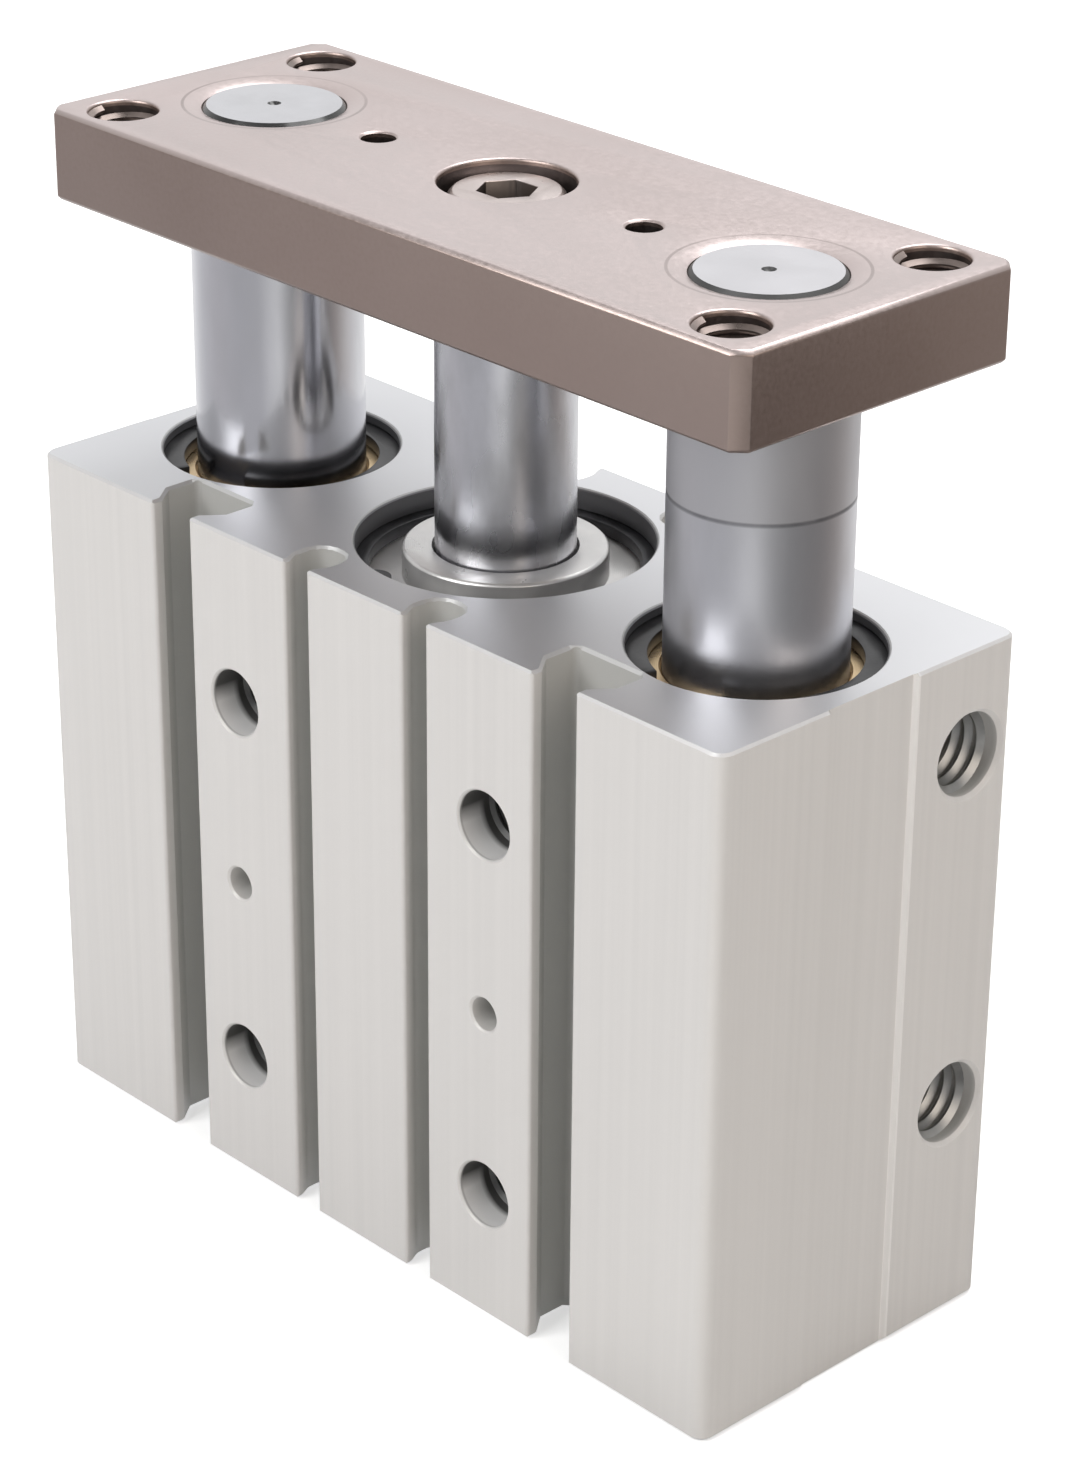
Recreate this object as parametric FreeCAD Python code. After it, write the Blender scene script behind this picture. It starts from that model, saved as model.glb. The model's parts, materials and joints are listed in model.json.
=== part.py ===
import FreeCAD, Part
import math
import os

from FreeCAD import Vector

# Guided pneumatic cylinder, 32 mm bore, 50 mm stroke. Sizes are in millimetres.
# X runs along the wide face, the face with the slots looks to -Y, the rods leave through the top, +Z.
# The origin is the centre of the body's underside. The plate stands part of the way out.

# Stroke and the position the rods are drawn in
stroke = 50.0
extension_at_rest = 21.0
retracted_gap = 10.0

# Body
body_length = 112.0
body_depth = 45.5
body_corner_radius = 1.8
edge_break = 0.3

# Cylinder bore and its two end covers
bore_radius = 16.0
cover_seat_radius = 17.0
rod_cover_depth = 4.2
rod_cover_thickness = 8.0
boss_radius = 11.7
boss_recess = 0.8
boss_lip = 1.2
boss_lip_gap = 0.3
shoulder = 0.6
head_cover_depth = 3.0
head_cover_thickness = 4.5
cover_ring_thickness = 1.5
cover_ring_width = 2.3
cover_ring_bite = 0.8
cover_ring_opening = 34.0
gasket_section = 2.0
gasket_depth = 1.5
rod_bush_length = 6.0
rod_bush_wall = 1.5
rod_seal_wall = 2.6

# Cushions at both ends of the stroke
bumper_height = 1.2
bumper_seat = 1.0
bumper_inner_radius = 10.3
bumper_outer_radius = 14.0

# Piston and rod
piston_length = 10.3
piston_gap = 0.2
piston_land = 1.3
seal_groove_height = 3.2
seal_groove_depth = 2.7
magnet_groove_height = 3.0
magnet_groove_depth = 2.2
rod_radius = 8.0
rod_neck_radius = 5.0
rod_rivet_radius = 6.6
rod_rivet_height = 1.6
rod_spigot_radius = 6.0
rod_spigot_height = 1.5

# Guide rods, their bushes and rings
guide_spacing = 78.0
guide_radius = 10.0
guide_overhang = 15.5
guide_bush_wall = 2.0
guide_bush_length = 20.0
guide_relief = 0.9
guide_mouth_radius = 14.0
guide_mouth_depth = 2.8
guide_ring_thickness = 1.5
guide_ring_width = 2.6
guide_ring_bite = 0.25
guide_ring_opening = 40.0
guide_spigot_radius = 8.3
guide_spigot_recess = 0.15
guide_sink_depth = 0.5
guide_end_chamfer = 1.0
guide_centre_radius = 2.6
spigot_mark_radius = 0.8

# Plate and the screw that holds it to the rod
plate_length = 110.0
plate_depth = 41.0
plate_thickness = 10.7
plate_corner = 1.6
plate_edge_break = 0.5
plate_hole_spacing_x = 96.0
plate_hole_spacing_y = 29.5
screw_head_radius = 6.5
screw_head_height = 5.2
screw_head_recess = 1.0
screw_radius = 4.0
screw_length = 22.0
screw_socket = 6.0
screw_socket_depth = 3.0
screw_pocket_gap = 1.15
screw_hole_gap = 0.5
tapped_hole_gap = 3.0

# Screw and dowel holes
mount_thread_radius = 4.0
mount_core_radius = 3.4
mount_thread_depth = 16.0
mount_chamfer = 0.25
mount_column_spacing = 42.0
mount_lower_row = 15.7
mount_upper_row_drop = 20.7
counterbore_radius = 5.5
counterbore_depth = 7.5
dowel_radius = 2.0
dowel_depth = 6.0
dowel_chamfer = 0.25
base_hole_spacing_x = 98.0
base_hole_spacing_y = 34.0

# Slots of the extrusion
tee_spacing = 63.4
tee_mouth = 6.5
tee_edge = 1.4
tee_lip = 3.9
tee_width = 10.4
tee_depth = 8.3
tee_shoulder = 0.4
tee_corner = 0.8
sensor_spacing = 19.6
sensor_mouth = 3.8
sensor_edge = 0.9
sensor_lip = 2.4
sensor_width = 5.4
sensor_depth = 6.5
sensor_shoulder = 1.2
sensor_corner = 2.4
lip_radius = 0.5
end_band_width = 13.6
end_band_depth = 0.4

# Air ports and the drilled ways behind them
port_radius = 4.86
port_core_radius = 4.2
port_depth = 8.0
port_core_depth = 12.0
port_chamfer = 0.45
port_setback = 15.8
port_upper_drop = 12.4
port_lower_height = 27.4
back_port_x = 43.0
plug_length = 6.0
plug_recess = 0.6
plug_socket = 5.0
plug_socket_depth = 3.5
way_radius = 1.75
down_way_radius = 2.0
down_way_x = 30.5
down_way_y = 16.0
cross_way_radius = 1.5
cross_way_aim = -15.0
ball_radius = 2.5
ball_recess = 0.6

# Clearances
press_gap = 0.02
fit_gap = 0.03
running_gap = 0.04
stop_gap = 0.3
seal_gap = 0.05
ring_gap = 0.1

# Heights that follow from the stack of parts along the cylinder
cover_stack = rod_cover_depth + rod_cover_thickness + head_cover_depth + head_cover_thickness
body_height = cover_stack + 2 * (bumper_height + stop_gap) + piston_length + stroke
rod_cover_bottom = body_height - rod_cover_depth - rod_cover_thickness
rod_cover_face = body_height - rod_cover_depth
boss_top = body_height - boss_recess
head_cover_top = head_cover_depth + head_cover_thickness
piston_bottom = head_cover_top + bumper_height + stop_gap + extension_at_rest
piston_top = piston_bottom + piston_length
plate_bottom = body_height + retracted_gap + extension_at_rest
plate_top = plate_bottom + plate_thickness
guide_bottom = extension_at_rest - guide_overhang
guide_x = guide_spacing / 2
guide_seat_radius = guide_radius + guide_bush_wall
guide_bush_end = body_height - guide_mouth_depth
mount_x = mount_column_spacing / 2
mount_rows = (mount_lower_row, body_height - mount_upper_row_drop)
dowel_row = (mount_rows[0] + mount_rows[1]) / 2
port_heights = (port_lower_height, body_height - port_upper_drop)
front = -body_depth / 2
back = body_depth / 2
screw_pocket_depth = screw_head_height + screw_head_recess
cross_way_z = head_cover_top + bumper_height

UP = Vector(0, 0, 1)
SIDES = (("left", -1), ("right", 1))


def cylinder(radius, height, base=(0, 0, 0), axis=(0, 0, 1)):
    return Part.makeCylinder(radius, height, Vector(*base), Vector(*axis))


def cone(radius_at_base, radius_at_end, height, base=(0, 0, 0), axis=(0, 0, 1)):
    return Part.makeCone(radius_at_base, radius_at_end, height, Vector(*base), Vector(*axis))


def rounded_outline(corners):
    """A closed wire through (x, y, radius) corners, each corner rounded by its radius."""
    edges = []
    last = None
    first = None
    count = len(corners)
    for i in range(count):
        here = Vector(corners[i][0], corners[i][1], 0)
        before = Vector(corners[i - 1][0], corners[i - 1][1], 0)
        after = Vector(corners[(i + 1) % count][0], corners[(i + 1) % count][1], 0)
        radius = corners[i][2]
        to_before = (before - here).normalize()
        to_after = (after - here).normalize()
        start = end = here
        if radius > 0:
            half = to_before.getAngle(to_after) / 2
            reach = radius / math.tan(half)
            start = here + to_before * reach
            end = here + to_after * reach
            towards = (to_before + to_after).normalize()
            middle = here + towards * (radius / math.sin(half) - radius)
        if last is not None and (start - last).Length > 1e-6:
            edges.append(Part.LineSegment(last, start).toShape())
        if radius > 0:
            edges.append(Part.Arc(start, middle, end).toShape())
        if first is None:
            first = start
        last = end
    edges.append(Part.LineSegment(last, first).toShape())
    return Part.Wire(edges)


def prism(corners, bottom, height):
    """The outline's area, raised from the height bottom."""
    area = Part.Face(rounded_outline(corners))
    area.translate(UP * bottom)
    return area.extrude(UP * height)


def bevelled_prism(corners, bottom, height, bevel):
    """A prism whose rims at both ends are broken by the bevel."""
    solid = prism(corners, bottom, height)
    rims = [e for e in solid.Edges if e.BoundBox.ZLength < 1e-6]
    return solid.makeChamfer(bevel, rims)


def revolve(points):
    """A solid of revolution about Z from (radius, z) points, in order round the section."""
    section = Part.makePolygon([Vector(r, 0, z) for r, z in points + points[:1]])
    return Part.Face(section).revolve(Vector(0, 0, 0), UP, 360)


def tube(outer, inner, height, base=(0, 0, 0)):
    return cylinder(outer, height, base).cut(cylinder(inner, height, base))


def hexagon(across_flats, height, base, axis=(0, 0, 1)):
    """A hexagonal prism for a socket, rising from base along axis."""
    reach = across_flats / 2 / math.cos(math.pi / 6)
    points = [Vector(reach * math.cos(a), reach * math.sin(a), 0)
              for a in [math.radians(60 * i) for i in range(7)]]
    solid = Part.Face(Part.makePolygon(points)).extrude(UP * height)
    solid.Placement = FreeCAD.Placement(Vector(*base), FreeCAD.Rotation(UP, Vector(*axis)))
    return solid


def bevelled_hole(radius, depth, chamfer, mouth, axis):
    """A drilled hole that starts at mouth and runs against axis, with a bevel at its mouth."""
    inward = [-a for a in axis]
    hole = cylinder(radius, depth, mouth, inward)
    return hole.fuse(cone(radius + chamfer, radius, chamfer, mouth, inward))


def split_ring(outer, width, thickness, opening, bottom, lug=0.0):
    """An internal retaining ring, open towards the front, with lugs and plier holes if lug is given."""
    inner = outer - width
    ring = tube(outer, inner, thickness, (0, 0, bottom))
    half = math.radians(opening / 2)
    reach = outer * 1.5
    spread = reach * math.tan(half)
    wedge = Part.makePolygon([Vector(0, 0, bottom), Vector(-spread, -reach, bottom),
                              Vector(spread, -reach, bottom), Vector(0, 0, bottom)])
    ring = ring.cut(Part.Face(wedge).extrude(UP * thickness))
    if lug > 0:
        for side in (-1, 1):
            angle = math.radians(270 + side * (opening / 2 + math.degrees(lug / inner)))
            centre = Vector(inner * math.cos(angle), inner * math.sin(angle), bottom)
            ring = ring.fuse(cylinder(lug, thickness, tuple(centre)).common(
                cylinder(outer, thickness, (0, 0, bottom))))
            ring = ring.cut(cylinder(lug / 2.4, thickness, tuple(centre)))
    return ring.removeSplitter()


def slot_corners(centre, mouth, edge, lip, width, shoulder_radius, depth, corner):
    """The corners of one slot of the front face, from left to right: its lips slope back from their edge."""
    half = [
        (mouth / 2, front, lip_radius),
        (mouth / 2, front + edge, 0),
        (width / 2, front + lip, shoulder_radius),
        (width / 2, front + depth, corner),
    ]
    left = [(centre - x, y, r) for x, y, r in half]
    right = [(centre + x, y, r) for x, y, r in reversed(half)]
    return left + right


def sensor_slot(centre):
    return slot_corners(centre, sensor_mouth, sensor_edge, sensor_lip, sensor_width, sensor_shoulder,
                        sensor_depth, sensor_corner)


def tee_slot(centre):
    return slot_corners(centre, tee_mouth, tee_edge, tee_lip, tee_width, tee_shoulder,
                        tee_depth, tee_corner)


def end_band():
    """The shallow band down the middle of the right end."""
    end = body_length / 2
    half = end_band_width / 2
    return [(end, -half, 0), (end - end_band_depth, -half, 0), (end - end_band_depth, half, 0), (end, half, 0)]


def extrusion():
    """The body's outer form: one drawn section with four slots in front and two behind, ends bevelled."""
    end = body_length / 2
    corners = [(-end, front, body_corner_radius), (end, front, body_corner_radius)]
    sensors = (-sensor_spacing / 2, sensor_spacing / 2)
    front_side = tee_slot(-tee_spacing / 2) + sensor_slot(sensors[0])
    front_side += sensor_slot(sensors[1]) + tee_slot(tee_spacing / 2)
    back_side = sensor_slot(sensors[0]) + sensor_slot(sensors[1])
    half = corners[:1] + front_side + corners[1:] + end_band()
    other_half = [(-x, -y, r) for x, y, r in corners[:1] + back_side + corners[1:] + end_band()]
    envelope = corners + [(-x, -y, r) for x, y, r in corners]
    drawn = prism(half + other_half, 0, body_height)
    return drawn.common(bevelled_prism(envelope, 0, body_height, edge_break))


def cylinder_bore():
    """The bore, the wider seats of both covers and the grooves of their retaining rings."""
    groove = cover_seat_radius + cover_ring_bite
    height = cover_ring_thickness + ring_gap
    hollow = cylinder(bore_radius, body_height)
    hollow = hollow.fuse(cylinder(cover_seat_radius, body_height - rod_cover_bottom, (0, 0, rod_cover_bottom)))
    hollow = hollow.fuse(cylinder(cover_seat_radius, head_cover_top))
    hollow = hollow.fuse(cylinder(groove, height, (0, 0, rod_cover_face)))
    hollow = hollow.fuse(cylinder(groove, height, (0, 0, head_cover_depth - height)))
    bevel = cover_seat_radius + edge_break
    hollow = hollow.fuse(cone(bevel, cover_seat_radius, edge_break))
    return hollow.fuse(cone(cover_seat_radius, bevel, edge_break, (0, 0, body_height - edge_break)))


def guide_bore():
    """One guide hole with bush seats, a narrower middle and the ring grooves at both mouths."""
    groove = guide_mouth_radius + guide_ring_bite
    height = guide_ring_thickness + ring_gap
    bevel = guide_mouth_radius + edge_break
    hollow = cylinder(guide_seat_radius - guide_relief, body_height)
    for low in (0, body_height - guide_mouth_depth - guide_bush_length):
        hollow = hollow.fuse(cylinder(guide_seat_radius, guide_mouth_depth + guide_bush_length, (0, 0, low)))
    for low in (0, guide_bush_end):
        hollow = hollow.fuse(cylinder(guide_mouth_radius, guide_mouth_depth, (0, 0, low)))
    hollow = hollow.fuse(cylinder(groove, height, (0, 0, guide_bush_end)))
    hollow = hollow.fuse(cylinder(groove, height, (0, 0, guide_mouth_depth - height)))
    hollow = hollow.fuse(cone(bevel, guide_mouth_radius, edge_break))
    return hollow.fuse(cone(guide_mouth_radius, bevel, edge_break, (0, 0, body_height - edge_break)))


def fixing_holes():
    """Tapped holes in front with counterbored through holes from behind, and the dowel holes."""
    holes = []
    for x in (-mount_x, mount_x):
        for z in mount_rows:
            holes.append(cylinder(mount_core_radius, body_depth, (x, front, z), (0, 1, 0)))
            holes.append(bevelled_hole(mount_thread_radius, mount_thread_depth, mount_chamfer,
                                       (x, front, z), (0, -1, 0)))
            holes.append(bevelled_hole(counterbore_radius, counterbore_depth, edge_break,
                                       (x, back, z), (0, 1, 0)))
        for y, way in ((front, -1), (back, 1)):
            holes.append(bevelled_hole(dowel_radius, dowel_depth, dowel_chamfer,
                                       (x, y, dowel_row), (0, way, 0)))
    for x in (-base_hole_spacing_x / 2, base_hole_spacing_x / 2):
        for y in (-base_hole_spacing_y / 2, base_hole_spacing_y / 2):
            holes.append(bevelled_hole(mount_thread_radius, mount_thread_depth, mount_chamfer,
                                       (x, y, 0), (0, 0, -1)))
    return holes


def port_holes():
    """Each port's mouth on the right end, and the plugged one on the back that meets it."""
    holes = []
    end = body_length / 2
    for z in port_heights:
        for mouth, axis in (((end, port_setback, z), (1, 0, 0)), ((back_port_x, back, z), (0, 1, 0))):
            holes.append(bevelled_hole(port_radius, port_depth, port_chamfer, mouth, axis))
        holes.append(cylinder(port_core_radius, port_core_depth, (end, port_setback, z), (-1, 0, 0)))
    return holes


def air_ways():
    """The drilled ways from the ports to both ends of the bore, and the ball seats that close them."""
    inner_end = body_length / 2 - port_core_depth
    lower, upper = port_heights
    start = Vector(inner_end + way_radius, port_setback, upper)
    aim = Vector(bore_radius * math.cos(math.radians(45)), bore_radius * math.sin(math.radians(35)), upper)
    run = aim - start
    ways = [cylinder(way_radius, run.Length, tuple(start), tuple(run))]
    ways.append(cylinder(way_radius, inner_end - down_way_x, (down_way_x, down_way_y, lower), (1, 0, 0)))
    ways.append(cylinder(down_way_radius, lower + down_way_radius, (down_way_x, down_way_y, 0)))
    ways.append(cylinder(ball_radius + press_gap, ball_recess + 2 * ball_radius, (down_way_x, down_way_y, 0)))
    mouth, inward, reach = cross_way()
    outside = mouth - inward * 2 * ball_radius
    depth = (back_ball_centre() - outside).Length + ball_radius
    ways.append(cylinder(cross_way_radius, reach, tuple(mouth), tuple(inward)))
    ways.append(cylinder(ball_radius + press_gap, depth, tuple(outside), tuple(inward)))
    return ways


def cross_way():
    """Mouth, direction and length of the way from the back face, past the downward way, into the bore."""
    angle = math.radians(cross_way_aim)
    aim = Vector(bore_radius * math.cos(angle), bore_radius * math.sin(angle), cross_way_z)
    inward = (aim - Vector(down_way_x, down_way_y, cross_way_z)).normalize()
    reach = (aim.y - back) / inward.y
    return aim - inward * reach, inward, reach


def back_ball_centre():
    """The ball lies on the slanting way, deep enough to clear the back face."""
    mouth, inward, reach = cross_way()
    return mouth + inward * ((ball_recess + ball_radius) / -inward.y)


def body():
    solid = extrusion().cut(cylinder_bore())
    for name, side in SIDES:
        hollow = guide_bore()
        hollow.translate(Vector(side * guide_x, 0, 0))
        solid = solid.cut(hollow)
    return solid.cut(fixing_holes() + port_holes() + air_ways())


def rod_cover():
    """The gland: a disc with a raised boss, a groove for its gasket and seats for bush, seal and cushion."""
    outer = cover_seat_radius - fit_gap
    bush_seat = rod_radius + running_gap + rod_bush_wall
    seal_seat = rod_radius + seal_gap + rod_seal_wall
    ledge = rod_cover_bottom + rod_bush_length
    lip_hole = rod_radius + boss_lip_gap
    groove_low = rod_cover_bottom + (rod_cover_thickness - gasket_section) / 2
    return revolve([
        (bush_seat, rod_cover_bottom),
        (bumper_inner_radius, rod_cover_bottom),
        (bumper_inner_radius, rod_cover_bottom + bumper_seat),
        (bumper_outer_radius, rod_cover_bottom + bumper_seat),
        (bumper_outer_radius, rod_cover_bottom),
        (outer - edge_break, rod_cover_bottom),
        (outer, rod_cover_bottom + edge_break),
        (outer, groove_low),
        (outer - gasket_depth, groove_low),
        (outer - gasket_depth, groove_low + gasket_section),
        (outer, groove_low + gasket_section),
        (outer, rod_cover_face - edge_break),
        (outer - edge_break, rod_cover_face),
        (boss_radius, rod_cover_face),
        (boss_radius, boss_top - edge_break),
        (boss_radius - edge_break, boss_top),
        (lip_hole, boss_top),
        (lip_hole, boss_top - boss_lip),
        (seal_seat, boss_top - boss_lip),
        (seal_seat, ledge + shoulder),
        (rod_radius + boss_lip_gap / 2, ledge + shoulder),
        (rod_radius + boss_lip_gap / 2, ledge),
        (bush_seat, ledge),
    ])


def rod_bush():
    outer = rod_radius + running_gap + rod_bush_wall - press_gap
    return tube(outer, rod_radius + running_gap, rod_bush_length, (0, 0, rod_cover_bottom))


def rod_seal():
    """A lipped seal: solid back on the shoulder, two lips opening downwards, wiper edge at the top."""
    inner = rod_radius + seal_gap
    outer = inner + rod_seal_wall - press_gap
    low = rod_cover_bottom + rod_bush_length + shoulder
    high = boss_top - boss_lip - press_gap
    mid = (inner + outer) / 2
    notch = rod_seal_wall / 5
    wiper = rod_radius + boss_lip_gap - press_gap
    return revolve([
        (inner, low),
        (mid - notch, low),
        (mid, (low + high) / 2),
        (mid + notch, low),
        (outer, low),
        (outer, high),
        (wiper, high),
        (wiper, high + boss_lip / 2),
        (inner, high + boss_lip / 2),
    ])


def gasket(bottom, thickness):
    """The ring that seals a cover in its seat, filling its groove up to the seat."""
    outer = cover_seat_radius - press_gap
    inner = cover_seat_radius - fit_gap - gasket_depth + press_gap
    low = bottom + (thickness - gasket_section) / 2 + press_gap
    return tube(outer, inner, gasket_section - 2 * press_gap, (0, 0, low))


def head_cover():
    """The plug at the lower end, with a cushion seat above and a shallow dish below."""
    outer = cover_seat_radius - fit_gap
    groove_low = head_cover_depth + (head_cover_thickness - gasket_section) / 2
    dish = bumper_inner_radius - 2 * bumper_seat
    return revolve([
        (0, head_cover_depth + bumper_seat),
        (dish, head_cover_depth + bumper_seat),
        (dish + bumper_seat, head_cover_depth),
        (outer - edge_break, head_cover_depth),
        (outer, head_cover_depth + edge_break),
        (outer, groove_low),
        (outer - gasket_depth, groove_low),
        (outer - gasket_depth, groove_low + gasket_section),
        (outer, groove_low + gasket_section),
        (outer, head_cover_top - edge_break),
        (outer - edge_break, head_cover_top),
        (bumper_outer_radius, head_cover_top),
        (bumper_outer_radius, head_cover_top - bumper_seat),
        (bumper_inner_radius, head_cover_top - bumper_seat),
        (bumper_inner_radius, head_cover_top),
        (0, head_cover_top),
    ])


def cover_ring(bottom):
    outer = cover_seat_radius + cover_ring_bite - ring_gap
    return split_ring(outer, cover_ring_width, cover_ring_thickness, cover_ring_opening, bottom,
                      cover_ring_width * 0.8)


def bumper(bottom):
    outer = bumper_outer_radius - press_gap
    inner = bumper_inner_radius + press_gap
    return tube(outer, inner, bumper_height + bumper_seat - press_gap, (0, 0, bottom))


def guide_bush(side, bottom):
    bush = tube(guide_seat_radius - press_gap, guide_radius + running_gap, guide_bush_length,
                (0, 0, bottom))
    bush = bush.makeChamfer(edge_break, [e for e in bush.Edges if e.Closed])
    bush.translate(Vector(side * guide_x, 0, 0))
    return bush


def guide_ring(side, bottom):
    outer = guide_mouth_radius + guide_ring_bite - ring_gap
    ring = split_ring(outer, guide_ring_width, guide_ring_thickness, guide_ring_opening, bottom)
    ring.translate(Vector(side * guide_x, 0, 0))
    return ring


def guide_rod(side):
    """A polished bar with a stepped end that passes through the plate, and a centre mark in each end."""
    spigot_top = plate_top - guide_spigot_recess
    tip = guide_spigot_radius - press_gap
    bevel = guide_end_chamfer
    mark = guide_centre_radius
    bar = revolve([
        (0, guide_bottom + mark),
        (mark, guide_bottom),
        (guide_radius - bevel, guide_bottom),
        (guide_radius, guide_bottom + bevel),
        (guide_radius, plate_bottom),
        (tip, plate_bottom),
        (tip, spigot_top - bevel / 2),
        (tip - bevel / 2, spigot_top),
        (spigot_mark_radius, spigot_top),
        (0, spigot_top - spigot_mark_radius),
    ])
    bar.translate(Vector(side * guide_x, 0, 0))
    return bar


def piston_rod():
    """The polished rod: riveted neck in the piston, centring spigot and tapped hole at the plate."""
    top = plate_bottom + rod_spigot_height - press_gap
    rod = revolve([
        (0, piston_bottom),
        (rod_rivet_radius - press_gap, piston_bottom),
        (rod_rivet_radius - press_gap, piston_bottom + rod_rivet_height - press_gap),
        (rod_neck_radius - press_gap, piston_bottom + rod_rivet_height - press_gap),
        (rod_neck_radius - press_gap, piston_top),
        (rod_radius - edge_break, piston_top),
        (rod_radius, piston_top + edge_break),
        (rod_radius, plate_bottom - edge_break),
        (rod_radius - edge_break, plate_bottom),
        (rod_spigot_radius - press_gap, plate_bottom),
        (rod_spigot_radius - press_gap, top),
        (0, top),
    ])
    hole_bottom = plate_top - screw_pocket_depth - screw_length - tapped_hole_gap
    return rod.cut(cylinder(screw_radius, top - hole_bottom, (0, 0, hole_bottom)))


def piston():
    """The piston: grooves for the seal and the magnet, and a stepped hole for the rod's riveted neck."""
    outer = bore_radius - piston_gap
    seal_low = piston_bottom + piston_land
    magnet_low = seal_low + seal_groove_height + piston_land
    return revolve([
        (rod_rivet_radius, piston_bottom),
        (outer - edge_break, piston_bottom),
        (outer, piston_bottom + edge_break),
        (outer, seal_low),
        (outer - seal_groove_depth, seal_low),
        (outer - seal_groove_depth, seal_low + seal_groove_height),
        (outer, seal_low + seal_groove_height),
        (outer, magnet_low),
        (outer - magnet_groove_depth, magnet_low),
        (outer - magnet_groove_depth, magnet_low + magnet_groove_height),
        (outer, magnet_low + magnet_groove_height),
        (outer, piston_top - edge_break),
        (outer - edge_break, piston_top),
        (rod_neck_radius, piston_top),
        (rod_neck_radius, piston_bottom + rod_rivet_height),
        (rod_rivet_radius, piston_bottom + rod_rivet_height),
    ])


def piston_seal():
    """A two-way lip seal that fills its groove and reaches the bore with its lips."""
    root = bore_radius - piston_gap - seal_groove_depth + press_gap
    lip = bore_radius - seal_gap
    waist = lip - (lip - root) / 3
    low = piston_bottom + piston_land + press_gap
    high = low + seal_groove_height - 2 * press_gap
    lip_height = (high - low) / 5
    return revolve([
        (root, low),
        (lip, low),
        (lip, low + lip_height),
        (waist, low + 2 * lip_height),
        (waist, high - 2 * lip_height),
        (lip, high - lip_height),
        (lip, high),
        (root, high),
    ])


def piston_magnet():
    outer = bore_radius - 2 * piston_gap
    root = bore_radius - piston_gap - magnet_groove_depth + press_gap
    low = piston_bottom + 2 * piston_land + seal_groove_height + press_gap
    return tube(outer, root, magnet_groove_height - 2 * press_gap, (0, 0, low))


def plate_blank():
    """The plate's outer form: straight sides, bevelled corners and softly broken edges."""
    half_x = plate_length / 2
    half_y = plate_depth / 2
    cut = plate_corner
    corners = [
        (-half_x + cut, -half_y, 0), (half_x - cut, -half_y, 0),
        (half_x, -half_y + cut, 0), (half_x, half_y - cut, 0),
        (half_x - cut, half_y, 0), (-half_x + cut, half_y, 0),
        (-half_x, half_y - cut, 0), (-half_x, -half_y + cut, 0),
    ]
    return bevelled_prism(corners, plate_bottom, plate_thickness, plate_edge_break)


def plate():
    """The tooling plate with its tapped corner holes, dowel holes, rod seats and screw pocket."""
    holes = []
    for x in (-plate_hole_spacing_x / 2, plate_hole_spacing_x / 2):
        for y in (-plate_hole_spacing_y / 2, plate_hole_spacing_y / 2):
            holes.append(bevelled_hole(mount_thread_radius, plate_thickness, mount_chamfer,
                                       (x, y, plate_top), (0, 0, 1)))
    for x in (-mount_x, mount_x):
        holes.append(bevelled_hole(dowel_radius, plate_thickness, dowel_chamfer,
                                   (x, 0, plate_top), (0, 0, 1)))
    for name, side in SIDES:
        holes.append(cylinder(guide_spigot_radius, plate_thickness, (side * guide_x, 0, plate_bottom)))
        holes.append(cone(guide_spigot_radius, guide_radius, guide_sink_depth,
                          (side * guide_x, 0, plate_top - guide_sink_depth)))
    holes.append(bevelled_hole(screw_head_radius + screw_pocket_gap, screw_pocket_depth, mount_chamfer,
                               (0, 0, plate_top), (0, 0, 1)))
    holes.append(cylinder(screw_radius + screw_hole_gap, plate_thickness, (0, 0, plate_bottom)))
    holes.append(cylinder(rod_spigot_radius, rod_spigot_height, (0, 0, plate_bottom)))
    return plate_blank().cut(holes)


def plate_screw():
    """The socket head cap screw down the middle of the plate into the rod."""
    seat = plate_top - screw_pocket_depth
    head_top = seat + screw_head_height
    shank = screw_radius - press_gap
    screw = revolve([
        (0, seat - screw_length),
        (shank - 2 * edge_break, seat - screw_length),
        (shank, seat - screw_length + 2 * edge_break),
        (shank, seat),
        (screw_head_radius, seat),
        (screw_head_radius, head_top - 2 * edge_break),
        (screw_head_radius - 2 * edge_break, head_top),
        (0, head_top),
    ])
    return screw.cut(hexagon(screw_socket, screw_socket_depth, (0, 0, head_top - screw_socket_depth)))


def port_plug(height):
    """A socket plug that closes one port on the back face."""
    outside = back - plug_recess
    plug = cylinder(port_radius - press_gap, plug_length, (back_port_x, outside - plug_length, height),
                    (0, 1, 0))
    base = (back_port_x, outside - plug_socket_depth, height)
    return plug.cut(hexagon(plug_socket, plug_socket_depth, base, (0, 1, 0)))


def base_ball():
    return Part.makeSphere(ball_radius, Vector(down_way_x, down_way_y, ball_recess + ball_radius))


def back_ball():
    return Part.makeSphere(ball_radius, back_ball_centre())


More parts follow.
